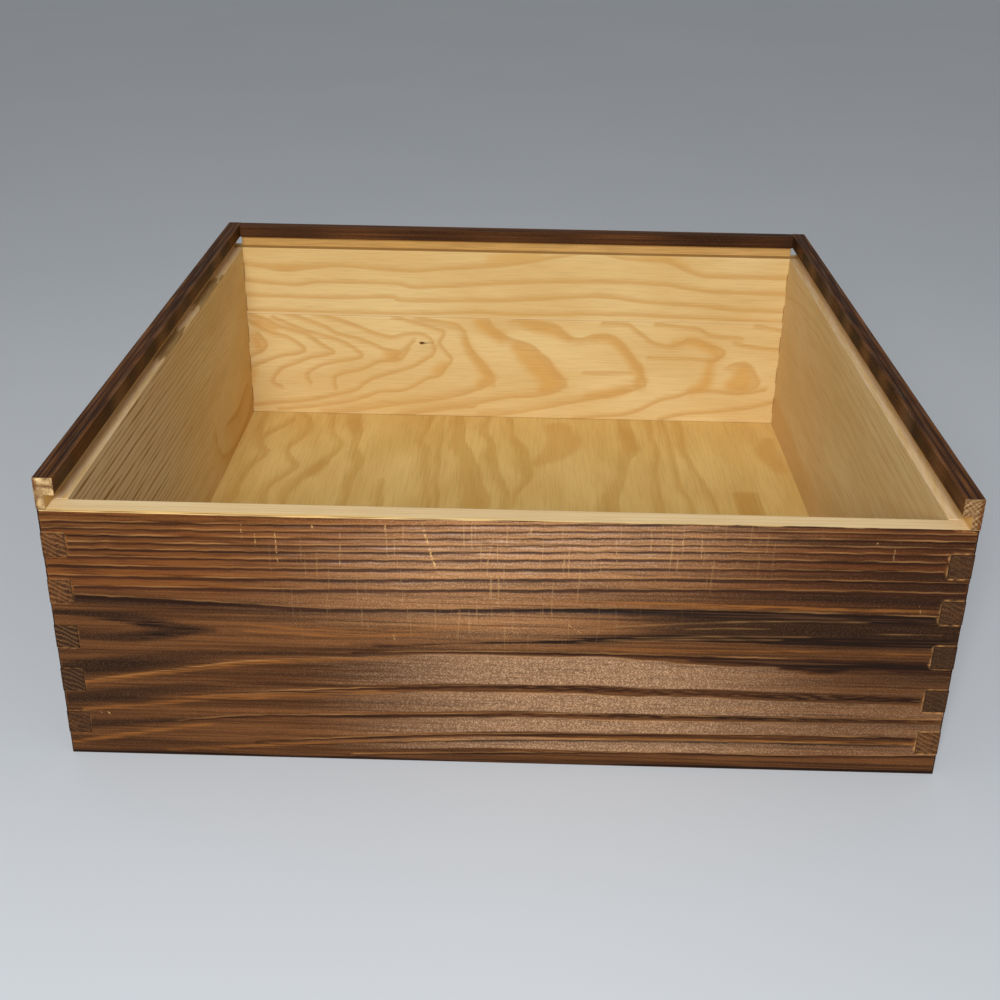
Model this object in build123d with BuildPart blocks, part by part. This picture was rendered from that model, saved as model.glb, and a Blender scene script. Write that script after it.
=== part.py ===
# An open wooden box: four finger-jointed walls, a thin plywood bottom let in from below, and a
# way for a sliding lid cut along the top of both sides and the back. The front board is lower
# than the other walls, so that a lid can slide in over it.
# Millimetres, +Z up, front towards -Y. The origin is the middle of the underside.
import os

from build123d import *

os.makedirs("parts", exist_ok=True)

# Driving dimensions of the whole box
box_width = 350
box_depth = 350
box_height = 125
front_height = 112
wall = 9

# Finger joints: equal sections from the underside up to the front board's top edge
finger_count = 11
glue_gap = 0.1

# Lid way: a groove level with the front board's top edge, under a lip that is a little
# narrower than the wall
groove_height = 6
groove_skin = 3.5
lip_width = 7.5

# Back wall: two boards glued edge to edge at this height
glue_line_height = 69.5

# Bottom: a panel flush with the underside, in a rebate that stops short of the outer faces
panel_thickness = 3
rebate_width = 5
panel_clearance = 0.2

# How far a cut runs past the wood that it cuts
overrun = 1

# Sizes that follow from these
finger = front_height / finger_count
socket_depth = wall + glue_gap
corner_setback = lip_width + glue_gap
groove_top = front_height + groove_height
half_width = box_width / 2
half_depth = box_depth / 2
rebate_x = box_width - 2 * (wall - rebate_width)
rebate_y = box_depth - 2 * (wall - rebate_width)

# Counted from the underside, front and back hold the odd sections and the sides the even ones
front_sections = range(1, finger_count + 1, 2)
side_sections = range(2, finger_count + 1, 2)


def board_face(length, bottom, top):
    """Draw a board's outer face, centred along its length, between two heights."""
    with Locations((0, (bottom + top) / 2)):
        Rectangle(length, top - bottom)


def cut_sockets(length, sections):
    """Cut from a board's face, at both ends, the sockets that its neighbours' fingers fill."""
    for end in (-1, 1):
        for section in sections:
            with Locations((end * (length - socket_depth) / 2, (section - 0.5) * finger)):
                Rectangle(socket_depth, finger + glue_gap, mode=Mode.SUBTRACT)


def cut_corner_tops(length):
    """Cut a board's face back at both ends above the fingers, to meet the lips of the sides."""
    tall = box_height - front_height + overrun
    for end in (-1, 1):
        with Locations((end * (length - corner_setback) / 2, front_height + tall / 2)):
            Rectangle(corner_setback, tall, mode=Mode.SUBTRACT)


def cut_level(bottom, top, size_x, back_edge):
    """Cut a level slice between two heights, from in front of the box to its back edge."""
    front_edge = -half_depth - overrun
    with BuildSketch(Plane.XY.offset(bottom)) as slice_plan:
        with Locations((0, (front_edge + back_edge) / 2)):
            Rectangle(size_x, back_edge - front_edge)
    extrude(slice_plan.sketch, amount=top - bottom, mode=Mode.SUBTRACT)


def cut_rebate():
    """Cut the seat of the bottom panel out of a wall's lower inner edge."""
    with BuildSketch(Plane.XY) as rebate_plan:
        Rectangle(rebate_x, rebate_y)
    extrude(rebate_plan.sketch, amount=panel_thickness, mode=Mode.SUBTRACT)


def cut_side_lid_way():
    """Cut the groove and set back the lip along a side, right through both of its ends."""
    past_back = half_depth + overrun
    cut_level(front_height, groove_top, box_width - 2 * groove_skin, past_back)
    cut_level(groove_top, box_height + overrun, box_width - 2 * lip_width, past_back)


def cut_back_lid_way():
    """Cut the groove and set back the lip along the back wall."""
    cut_level(front_height, groove_top, box_width, half_depth - groove_skin)
    cut_level(groove_top, box_height + overrun, box_width, half_depth - lip_width)


# Front board, up to the lid's running level
with BuildPart() as front_board:
    with BuildSketch(Plane.XZ.offset(half_depth)):
        board_face(box_width, 0, front_height)
        cut_sockets(box_width, side_sections)
    extrude(amount=-wall)
    cut_rebate()
front_board.part.label = "front_board"

# Upper back board, with the lip and the groove that stop the lid
with BuildPart() as back_upper_board:
    with BuildSketch(Plane.XZ.offset(-half_depth)):
        board_face(box_width, glue_line_height, box_height)
        cut_sockets(box_width, side_sections)
        cut_corner_tops(box_width)
    extrude(amount=wall)
    cut_back_lid_way()
back_upper_board.part.label = "back_upper_board"

# Lower back board, edge-glued under the upper one
with BuildPart() as back_lower_board:
    with BuildSketch(Plane.XZ.offset(-half_depth)):
        board_face(box_width, 0, glue_line_height)
        cut_sockets(box_width, side_sections)
    extrude(amount=wall)
    cut_rebate()
back_lower_board.part.label = "back_lower_board"

# Left side, full height, with its fingers showing on the front and the back
with BuildPart() as left_side:
    with BuildSketch(Plane.YZ.offset(-half_width)):
        board_face(box_depth, 0, box_height)
        cut_sockets(box_depth, front_sections)
    extrude(amount=wall)
    cut_side_lid_way()
    cut_rebate()
left_side.part.label = "left_side"

# Right side, the left one's mirror image
with BuildPart() as right_side:
    with BuildSketch(Plane.YZ.offset(half_width)):
        board_face(box_depth, 0, box_height)
        cut_sockets(box_depth, front_sections)
    extrude(amount=-wall)
    cut_side_lid_way()
    cut_rebate()
right_side.part.label = "right_side"

# Plywood bottom, glued up into the rebate
with BuildPart() as bottom_panel:
    with BuildSketch(Plane.XY):
        Rectangle(rebate_x - 2 * panel_clearance, rebate_y - 2 * panel_clearance)
    extrude(amount=panel_thickness)
bottom_panel.part.label = "bottom_panel"

boards = (front_board, back_upper_board, back_lower_board, left_side, right_side, bottom_panel)
for board in boards:
    export_step(board.part, f"parts/{board.part.label}.step")
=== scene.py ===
# %% [markdown]
# This lesson dresses a wooden storage box: six boards, joined by fingers at the corners, burnt and brushed
# on the outside and left as bare pine inside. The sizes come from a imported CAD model, which is loaded first
# and never moved. Every board of the box is then made again as a finer mesh over its CAD solid.

# %% Load the frame
import math

import bmesh
import bpy
import numpy as np
from mathutils import Matrix, Vector


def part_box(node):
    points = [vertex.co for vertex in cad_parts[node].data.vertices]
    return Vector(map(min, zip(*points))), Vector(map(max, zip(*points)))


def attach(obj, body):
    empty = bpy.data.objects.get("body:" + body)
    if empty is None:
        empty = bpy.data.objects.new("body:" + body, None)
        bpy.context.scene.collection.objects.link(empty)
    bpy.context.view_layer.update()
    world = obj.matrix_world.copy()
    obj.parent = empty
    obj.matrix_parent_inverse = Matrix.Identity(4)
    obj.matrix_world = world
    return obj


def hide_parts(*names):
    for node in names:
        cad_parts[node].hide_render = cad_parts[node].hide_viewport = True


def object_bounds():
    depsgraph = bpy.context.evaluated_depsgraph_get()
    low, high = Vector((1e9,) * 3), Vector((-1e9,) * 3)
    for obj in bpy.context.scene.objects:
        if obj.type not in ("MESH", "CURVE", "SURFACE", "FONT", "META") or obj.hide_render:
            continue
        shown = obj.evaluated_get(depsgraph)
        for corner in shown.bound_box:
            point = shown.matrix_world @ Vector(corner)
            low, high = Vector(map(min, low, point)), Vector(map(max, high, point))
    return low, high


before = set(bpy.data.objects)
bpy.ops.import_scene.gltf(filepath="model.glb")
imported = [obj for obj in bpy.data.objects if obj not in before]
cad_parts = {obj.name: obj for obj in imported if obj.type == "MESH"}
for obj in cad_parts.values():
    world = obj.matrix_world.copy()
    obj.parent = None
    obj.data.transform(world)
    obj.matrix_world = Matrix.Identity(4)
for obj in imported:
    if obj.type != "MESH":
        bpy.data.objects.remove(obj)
cad_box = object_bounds()
MM = 0.001


def in_mm(corners):
    """The lowest and the highest corner of a box, in millimetres."""
    return tuple(np.array(corner) / MM for corner in corners)


box_low, box_high = in_mm(cad_box)
half_width, half_depth, box_height = box_high
front_low, front_high = in_mm(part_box("front_board"))
front_top = front_high[2]
wall = front_high[1] - front_low[1]
inner_x = half_width - wall
inner_y = half_depth - wall
glue_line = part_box("back_lower_board")[1].z / MM
print("box", box_high - box_low, "mm, front", front_top, "mm high, wall", wall, "mm")
print("glue line of the back at", glue_line, "mm")

# %% [markdown]
# The camera stands where the photograph was taken: in front, a little right of the middle, looking down at
# the open top. Its place and angles were fitted to the box's corners. A roll of one degree is kept, because
# the photograph has it. Blender's camera looks along its own -Z, so the matrix is built from three axes.

# %% Camera
CAMERA_PLACE = Vector((0.0031, -0.6018, 0.3424))
CAMERA_YAW = math.radians(-0.78)
CAMERA_PITCH = math.radians(25.02)
CAMERA_ROLL = math.radians(0.99)
CAMERA_LENS = 47.07
CAMERA_SHIFT = -0.056
CAMERA_SENSOR = 36
CAMERA_NEAR = 0.01

forward = Vector((
    math.sin(CAMERA_YAW) * math.cos(CAMERA_PITCH),
    math.cos(CAMERA_YAW) * math.cos(CAMERA_PITCH),
    -math.sin(CAMERA_PITCH),
))
level_right = Vector((math.cos(CAMERA_YAW), -math.sin(CAMERA_YAW), 0))
level_up = level_right.cross(forward)
right = math.cos(CAMERA_ROLL) * level_right + math.sin(CAMERA_ROLL) * level_up
up = math.cos(CAMERA_ROLL) * level_up - math.sin(CAMERA_ROLL) * level_right

camera = bpy.data.objects.new("camera", bpy.data.cameras.new("camera"))
camera.data.sensor_width = CAMERA_SENSOR
camera.data.lens = CAMERA_LENS
camera.data.shift_y = CAMERA_SHIFT
camera.data.clip_start = CAMERA_NEAR
camera.matrix_world = Matrix((right, up, -forward)).transposed().to_4x4()
camera.location = CAMERA_PLACE
bpy.context.scene.collection.objects.link(camera)
bpy.context.scene.camera = camera
print("camera", tuple(round(c, 3) for c in camera.location), "lens", CAMERA_LENS, "mm")

# %% [markdown]
# Shaders are easier to read as formulas than as a page of nodes. A Wire holds one output socket, and adding
# or multiplying wires adds the Math nodes that do it. Every other node comes from Wire.add, which takes the
# node's type, its settings and its inputs. Colours are written as screen values and mixed by Mix nodes.

# %% Wires
class Wire:
    """One output socket of a shader, on which Python's own operators work."""

    def __init__(self, socket):
        self.socket = socket

    def add(self, kind, settings=None, inputs=None, output=0):
        tree = self.socket.id_data
        node = tree.nodes.new(kind)
        for name, value in (settings or {}).items():
            setattr(node, name, value)
        for name, value in (inputs or {}).items():
            if isinstance(value, Wire):
                tree.links.new(value.socket, node.inputs[name])
            else:
                node.inputs[name].default_value = value
        return Wire(node.outputs[output])

    def math(self, operation, *values):
        return self.add("ShaderNodeMath", {"operation": operation}, dict(enumerate(values)))

    def __add__(self, other):
        return self.math("ADD", self, other)

    def __radd__(self, other):
        return self.math("ADD", other, self)

    def __sub__(self, other):
        return self.math("SUBTRACT", self, other)

    def __rsub__(self, other):
        return self.math("SUBTRACT", other, self)

    def __mul__(self, other):
        return self.math("MULTIPLY", self, other)

    def __rmul__(self, other):
        return self.math("MULTIPLY", other, self)

    def __truediv__(self, other):
        return self.math("DIVIDE", self, other)

    def __abs__(self):
        return self.math("ABSOLUTE", self)


def ramp(wire, start, end):
    """0 where the wire is at start, 1 where it is at end, and a smooth rise between them."""
    settings = {"interpolation_type": "SMOOTHSTEP"}
    return wire.add("ShaderNodeMapRange", settings, {"Value": wire, "From Min": start, "From Max": end})


def colour(red, green, blue):
    """A colour as seen on a screen, 0 to 255, turned into the linear numbers that a shader needs."""
    linear = [((c / 255 + 0.055) / 1.055) ** 2.4 for c in (red, green, blue)]
    return (*linear, 1.0)


def mix(share, base, other):
    """base, with a share of the other colour laid over it."""
    return share.add("ShaderNodeMix", {"data_type": "RGBA"}, {0: share, 6: base, 7: other}, output=2)


def noise(coords, stretch, detail=2.0, roughness=0.5):
    """A cloudy pattern from 0 to 1, with that many waves per metre along X, Y and Z."""
    scaled = coords.add("ShaderNodeVectorMath", {"operation": "MULTIPLY"}, {0: coords, 1: stretch})
    inputs = {"Vector": scaled, "Scale": 1.0, "Detail": detail, "Roughness": roughness}
    return coords.add("ShaderNodeTexNoise", None, inputs)


def painted(coords, name):
    """A number painted on the mesh's points."""
    return coords.add("ShaderNodeAttribute", {"attribute_name": name}, output="Fac")


print("wires ready")

# %% [markdown]
# The photograph was lit by one lamp close to the camera, up and to the left: the wall that faces it is the
# brightest, the left wall is in half shade and the brushed ridges of the front catch a glare near the top.
# A soft square lamp does the same here, and an even grey world fills the shadows. The lamp's power is
# chosen so that a colour on the back wall renders about as it is written. Its spread is narrowed, as by a
# grid, which keeps the floor around the box from burning out. The world looks brighter than the light it
# gives.

# %% Lamp, world and floor
LAMP_PLACE = Vector((-0.11, -1.12, 0.66))
LAMP_AIM = Vector((0.0, 0.0, 0.06))
LAMP_SIZE = 0.36
LAMP_POWER = 6.5
LAMP_SPREAD = math.radians(120)
WORLD_LIGHT = 0.36
WORLD_SEEN = 0.72
WORLD_COLOUR = (0.97, 0.99, 1.0, 1.0)
FLOOR_SIZE = 14.0
FLOOR_ROUGHNESS = 0.8

lamp_data = bpy.data.lights.new("key_lamp", "AREA")
lamp_data.shape = "SQUARE"
lamp_data.size = LAMP_SIZE
lamp_data.energy = LAMP_POWER
lamp_data.spread = LAMP_SPREAD
lamp = bpy.data.objects.new("key_lamp", lamp_data)
lamp.location = LAMP_PLACE
lamp.rotation_euler = (LAMP_AIM - LAMP_PLACE).to_track_quat("-Z", "Y").to_euler()
bpy.context.scene.collection.objects.link(lamp)

world = bpy.data.worlds.new("studio")
world.use_nodes = True
bpy.context.scene.world = world
background = world.node_tree.nodes["Background"]
camera_ray = Wire(world.node_tree.nodes.new("ShaderNodeLightPath").outputs["Is Camera Ray"])
level = camera_ray * (WORLD_SEEN - WORLD_LIGHT) + WORLD_LIGHT
world.node_tree.links.new(level.socket, background.inputs["Strength"])
background.inputs["Color"].default_value = WORLD_COLOUR
bpy.context.scene.view_settings.view_transform = "Standard"


def new_finish(name):
    """A new material, with its shader node and a wire of the object's own coordinates in metres."""
    finish = bpy.data.materials.new(name)
    finish.use_nodes = True
    tree = finish.node_tree
    coords = Wire(tree.nodes.new("ShaderNodeTexCoord").outputs["Object"])
    return finish, tree.nodes["Principled BSDF"], coords


def plug(wire, socket):
    """Links a wire to an input socket."""
    socket.id_data.links.new(wire.socket, socket)


floor_finish, floor_shader, floor_coords = new_finish("studio_floor")
floor_cloud = noise(floor_coords, (3, 3, 3))
plug(mix(floor_cloud, colour(196, 201, 207), colour(204, 208, 212)), floor_shader.inputs["Base Color"])
floor_shader.inputs["Roughness"].default_value = FLOOR_ROUGHNESS
floor_mesh = bpy.data.meshes.new("studio_floor")
edge = FLOOR_SIZE / 2
floor_corners = [(-edge, -edge, 0), (edge, -edge, 0), (edge, edge, 0), (-edge, edge, 0)]
floor_mesh.from_pydata(floor_corners, [], [(0, 1, 2, 3)])
floor_mesh.materials.append(floor_finish)
studio_floor = bpy.data.objects.new("studio_floor", floor_mesh)
bpy.context.scene.collection.objects.link(studio_floor)
print("lamp", LAMP_POWER, "W at", tuple(LAMP_PLACE))

# %% [markdown]
# The CAD solids have sharp edges and a few large faces. A real board has rounded edges, and a burnt and
# brushed one has ridges. So each board starts as a copy of its CAD mesh, its outer edges are rounded by a
# narrow bevel, and it is then sliced into a fine grid whose points can be pushed in, one by one. Slicing
# the middle first and then each half on its own keeps the work small.

# %% From a CAD solid to a sliced board
ARRIS = 0.5
ARRIS_SEGMENTS = 3
WELD_WITHIN = 1e-6
ON_PLANE = 1e-7
FLAT_ANGLE = 0.02
CORNER_ANGLE = 0.5
SHARP_ANGLE = math.radians(40)


def cut_places(low, high, step, fine_ends=()):
    """Places from low to high a step apart, with extra ones close to both ends."""
    places = set(np.round(np.arange(low + step, high - step / 2, step), 3))
    for inset in fine_ends:
        places |= {round(low + inset, 3), round(high - inset, 3)}
    return sorted(places)


def place_on_axis(part, axis):
    """Where the middle of a face, an edge or a point lies along an axis."""
    points = [part] if isinstance(part, bmesh.types.BMVert) else part.verts
    return sum(point.co[axis] for point in points) / len(points)


def slice_between(board, parts, axis, places):
    """Slices parts of a board across an axis at each of the places, the middle one first."""
    if not places:
        return
    middle = len(places) // 2
    normal = Vector((0, 0, 0))
    normal[axis] = 1
    level = places[middle] * MM
    cut = bmesh.ops.bisect_plane(board, geom=parts, dist=ON_PLANE, plane_co=normal * level, plane_no=normal)
    halves = ([], [])
    for part in cut["geom"]:
        halves[int(place_on_axis(part, axis) > level)].append(part)
    slice_between(board, halves[0], axis, places[:middle])
    slice_between(board, halves[1], axis, places[middle + 1:])


def sliced_copy(node, cuts):
    """The node's mesh with rounded edges, sliced by each cut in turn. A cut is an axis and the places along
    it, in millimetres, and where it also has a limit, only what lies in front of that is sliced."""
    board = bmesh.new()
    board.from_mesh(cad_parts[node].data)
    bmesh.ops.remove_doubles(board, verts=board.verts, dist=WELD_WITHIN)
    bmesh.ops.dissolve_limit(board, angle_limit=FLAT_ANGLE, verts=board.verts, edges=board.edges)
    convex = [edge for edge in board.edges if edge.is_manifold and edge.is_convex]
    arrises = [edge for edge in convex if edge.calc_face_angle(0) > CORNER_ANGLE]
    bmesh.ops.bevel(
        board, geom=arrises, offset=ARRIS * MM, offset_type="OFFSET", segments=ARRIS_SEGMENTS, profile=0.5,
        affect="EDGES", clamp_overlap=True,
    )
    for axis, places, *limit in cuts:
        parts = board.verts[:] + board.edges[:] + board.faces[:]
        if limit:
            parts = [part for part in parts if place_on_axis(part, 1) < limit[0] * MM]
        slice_between(board, parts, axis, places)
    mesh = bpy.data.meshes.new(node + "_finished")
    board.to_mesh(mesh)
    board.free()
    return mesh


print("slicing ready, edges rounded by", ARRIS, "mm")

# %% [markdown]
# A board's points are read into arrays, so that a formula can work on all of them at once, and are written
# back when it is done. The finished piece takes the place of its CAD node, rides on the same body and wears
# its material. Numbers painted on its points go with the mesh as attributes.

# %% Reading a mesh and finishing a piece
def read_points(mesh):
    """Places in millimetres and outward directions of a mesh's points."""
    count = len(mesh.vertices)
    places = np.empty(count * 3)
    mesh.vertices.foreach_get("co", places)
    directions = np.empty(count * 3)
    mesh.vertices.foreach_get("normal", directions)
    return places.reshape(-1, 3) / MM, directions.reshape(-1, 3)


def finish_piece(mesh, name, places, paint, finish, node):
    """Puts the moved points and the painted numbers on the mesh, and hangs the piece on the frame."""
    mesh.vertices.foreach_set("co", (places * MM).ravel())
    for label, values in paint.items():
        layer = mesh.attributes.new(label, "FLOAT", "POINT")
        layer.data.foreach_set("value", values.astype(np.float32))
    mesh.update()
    mesh.shade_smooth()
    mesh.set_sharp_from_angle(angle=SHARP_ANGLE)
    mesh.materials.append(finish)
    piece = bpy.data.objects.new(name, mesh)
    bpy.context.scene.collection.objects.link(piece)
    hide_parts(node)
    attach(piece, "root")
    print(name, len(mesh.vertices), "points", len(mesh.polygons), "faces")


print("edges sharper than", round(math.degrees(SHARP_ANGLE)), "degrees stay sharp")

# %% [markdown]
# Grain is drawn as a joiner would draw it with a brush: each growth ring is a line through a few points,
# with a half width at each. A smooth curve goes through the points, and every point of the mesh then gets
# its distance from the edge of the nearest line. The shader turns distance into colour, and can make the
# edge as sharp or as fibrous as it likes.

# %% Drawing grain
FAR = 8.0
WAVES = 6
WAVE_TURNS = (0.6, 1.6)
WAVE_SUM = 3.5


def drawn_curve(points, steps=8):
    """A smooth curve through listed points, each two places and a half width in millimetres."""
    p = np.array(points, float)
    p = np.vstack([2 * p[0] - p[1], p, 2 * p[-1] - p[-2]])
    t = np.linspace(0, 1, steps, endpoint=False)[:, None]
    runs = []
    for a, b, c, d in zip(p, p[1:], p[2:], p[3:]):
        runs.append(b + 0.5 * t * (c - a + t * (2 * a - 5 * b + 4 * c - d + t * (3 * (b - c) + d - a))))
    return np.vstack(runs + [p[-2:-1]])


def distance_to_lines(lines, u, v, inner_softness=1.0):
    """How far each place lies from the edge of the nearest drawn line, below zero inside it. To the right
    of a line's direction the distance grows more slowly, which makes that side softer."""
    nearest = np.full(len(u), FAR)
    for points in lines:
        curve = drawn_curve(points)
        reach = FAR / inner_softness + curve[:, 2].max()
        low, high = curve[:, :2].min(0) - reach, curve[:, :2].max(0) + reach
        near = np.flatnonzero((u > low[0]) & (u < high[0]) & (v > low[1]) & (v < high[1]))
        nu, nv = u[near], v[near]
        best = np.full(len(near), FAR)
        for (ua, va, wa), (ub, vb, wb) in zip(curve[:-1], curve[1:]):
            du, dv = ub - ua, vb - va
            t = np.clip(((nu - ua) * du + (nv - va) * dv) / (du * du + dv * dv), 0, 1)
            ou, ov = nu - ua - t * du, nv - va - t * dv
            away = np.hypot(ou, ov) - (wa + t * (wb - wa))
            inner = (du * ov - dv * ou < 0) & (away > 0)
            best = np.minimum(best, np.where(inner, away * inner_softness, away))
        nearest[near] = np.minimum(nearest[near], best)
    return nearest


def even(half, *points):
    """A line of one half width through points with two places each."""
    return [(u, v, half) for u, v in points]


def rise(value, start, end):
    """0 at start, 1 at end and smooth between, as ramp does in a shader."""
    t = np.clip((value - start) / (end - start), 0, 1)
    return t * t * (3 - 2 * t)


def uneven(rng, u, v, wave_u, wave_v):
    """A seeded, smooth, bumpy field between -1 and 1, with waves of about those lengths."""
    field = np.zeros(len(u))
    for _ in range(WAVES):
        turns_u, turns_v = rng.uniform(*WAVE_TURNS, 2) * 2 * math.pi
        way = rng.choice((-1, 1))
        field += np.sin(turns_u * u / wave_u + way * turns_v * v / wave_v + rng.uniform(0, 6.3))
    return field / WAVE_SUM


print("drawing tools ready")

# %% [markdown]
# One recipe serves all the boards, because all are the same pine with the same treatment. It starts with
# bare wood: pale early wood, honey rings and chalky spots, which on the left wall's front also carry a
# painted sheen, each laid over the last. The noise is stretched along the board, so the same pattern gives
# long fibres on a face and dots on an end. The plywood bottom takes the same recipe with its own colours.

# %% Bare wood
PINE = {
    "light": (222, 195, 139), "shade": (213, 181, 121), "ring": (199, 157, 92),
    "deep": (207, 160, 86), "warm": (205, 155, 78), "chalk": (228, 203, 166), "contrast": 0.72,
}
PLY = {
    "light": (229, 196, 124), "shade": (217, 180, 107), "ring": (202, 159, 84),
    "deep": (202, 157, 80), "warm": (205, 158, 84), "chalk": (234, 212, 168), "contrast": 0.6,
}


def along(axis, lengthwise, crosswise):
    """Waves per metre on each axis, few along the grain and many across it."""
    stretch = [crosswise] * 3
    stretch[axis] = lengthwise
    return tuple(stretch)


def bare_look(tones, line, char, warm, pale, fibre, cloud):
    """Planed pine: pale early wood, honey rings with one soft side, deeper amber where a ring is wide."""
    edge = line + (fibre - 0.5) * 0.9
    ground = mix(cloud, colour(*tones["light"]), colour(*tones["shade"]))
    glow = mix(warm * 0.8, ground, colour(*tones["warm"]))
    rings = mix(ramp(edge, 0.7, -0.4) * tones["contrast"], glow, colour(*tones["ring"]))
    deep = mix(ramp(edge, -1.0, -3.6) * 0.6, rings, colour(*tones["deep"]))
    # Chalk and dust; towards the front of the left wall this is a painted sheen.
    chalky = mix(pale * 0.85, deep, colour(*tones["chalk"]))
    knot = mix(ramp(char + (fibre - 0.5) * 0.6, 0.5, -0.4), chalky, colour(84, 46, 22))
    return mix(ramp(fibre, 0.56, 0.3) * 0.2, knot, colour(160, 118, 66))


print("bare wood in", len(PINE) - 1, "tones")

# %% [markdown]
# Burnt wood is built up in the order in which the real board got its marks: brown from the flame, darker
# where the burn number is higher, rubbed and dusty where brush and hands took the skin off, with a painted
# glare over the rubbed middle. Then come amber streaks, dark rings, scorched lines, light rims with a painted
# highlight, and scuffs. Each line of the function lays one colour over the last.

# %% Burnt wood
def scorched_look(coords, axis):
    """Near-black skin with thin brown wisps along the grain."""
    wisps = ramp(noise(coords, along(axis, 14, 900)), 0.52, 0.68)
    return mix(wisps * 0.6, colour(32, 20, 14), colour(88, 57, 35))


def burnt_look(coords, axis, line, char, warm, pale, rim, wear_and_glare, burn, red, fibre, grit):
    """Burnt and brushed pine: brown bands, near-black rings, amber streaks and light rims with painted
    highlights.
    """
    broad, narrow = (noise(coords, along(axis, *waves)) for waves in ((9, 300), (7, 950)))
    streak = ramp(broad * 0.55 + narrow * 0.45, 0.36, 0.62)
    brown = mix(streak, colour(62, 36, 18), colour(102, 63, 33))
    ground = mix(red, brown, mix(streak, colour(60, 30, 11), colour(106, 56, 22)))
    deeper = mix(ramp(burn, 1.0, 3.0) * 0.9, ground, colour(32, 19, 12))
    # The rubbed middle is painted light: partly wear, partly a painted glare.
    rubbed = mix(wear_and_glare * (streak * 0.25 + 0.65), deeper, colour(176, 124, 77))
    dusty = mix(pale * 0.85, rubbed, colour(138, 103, 74))
    # Light specks of grit, with a painted sparkle of glare where the middle is rubbed and in the pale bands.
    grit_and_sparkle = mix(ramp(grit, 0.5, 0.66) * (pale * 0.4 + wear_and_glare * 0.4 + 0.04), dusty, colour(206, 170, 134))
    pores = mix(ramp(grit, 0.44, 0.3) * (pale * 0.3 + wear_and_glare * 0.2 + 0.1), grit_and_sparkle, colour(58, 36, 21))
    amber = mix(warm * ramp(fibre, 0.3, 0.6) * 0.8, pores, colour(132, 82, 38))
    fine = ramp(noise(coords, along(axis, 6, 750)), 0.57, 0.68) * (1 - pale) * 0.5
    lined = mix(fine, amber, colour(46, 26, 14))
    shaded = mix(ramp(line + (fibre - 0.5) * 0.5, 1.0, 0.0) * 0.3, lined, colour(46, 25, 12))
    dark = mix(streak, colour(33, 19, 13), colour(60, 32, 20))
    rings = mix(ramp(line + (fibre - 0.5) * 0.4, 0.2, -0.15) * 0.85, shaded, dark)
    charred = mix(ramp(char + (fibre - 0.5) * 1.1, 0.35, -0.25), rings, scorched_look(coords, axis))
    # Light rims, glue and flecks, with the painted highlights on ring edges and the painted glints.
    rims = mix(rim * ramp(fibre, 0.3, 0.5) * 0.75, charred, colour(182, 132, 79))
    scuffs = ramp(noise(coords, along(axis, 1300, 55), detail=0.0), 0.72, 0.78) * wear_and_glare
    scuffed = mix(scuffs * 0.35, rims, colour(196, 152, 100))
    return mix(ramp(fibre, 0.5, 0.3) * 0.35, scuffed, colour(40, 24, 13))


print("burnt wood ready")

# %% [markdown]
# A finish mixes the two looks by a painted number, burn. Only the pale bands and the rubbed middle, with its
# painted glare, get a coat that shines, so the scorched wood stays dark. The scratches across the front are
# finer than the mesh, so the shader works them out from its coordinates: each is a thin straight line, drawn
# from (x, z) to (x, z) with its half width and its strength, and broken up by noise.

# %% Wood finishes
GRAIN_X = 0
GRAIN_Y = 1
BURNT_ROUGHNESS = 0.55
BARE_ROUGHNESS = 0.62
SHEEN_ROUGHNESS = 0.36
SHINE = 0.05
BUMP_STRENGTH = 0.4
BUMP_HEIGHT = 0.0003


def scratch_marks(coords, scratches):
    """How strongly each place of a face that looks forwards is scratched."""
    x, z = (coords.add("ShaderNodeSeparateXYZ", None, {"Vector": coords}, axis) for axis in "XZ")
    marks = None
    for (xa, za), (xb, zb), half, strength in scratches:
        lean = (xb - xa) / (zb - za)
        off = abs(x - z * lean - (xa - za * lean) * MM)
        ends = ramp(z, zb * MM, (zb + 1) * MM) * ramp(z, za * MM, (za - 1) * MM)
        mark = ramp(off, half * 1.4 * MM, half * 0.5 * MM) * ends * strength
        marks = mark if marks is None else marks + mark
    return marks


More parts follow.
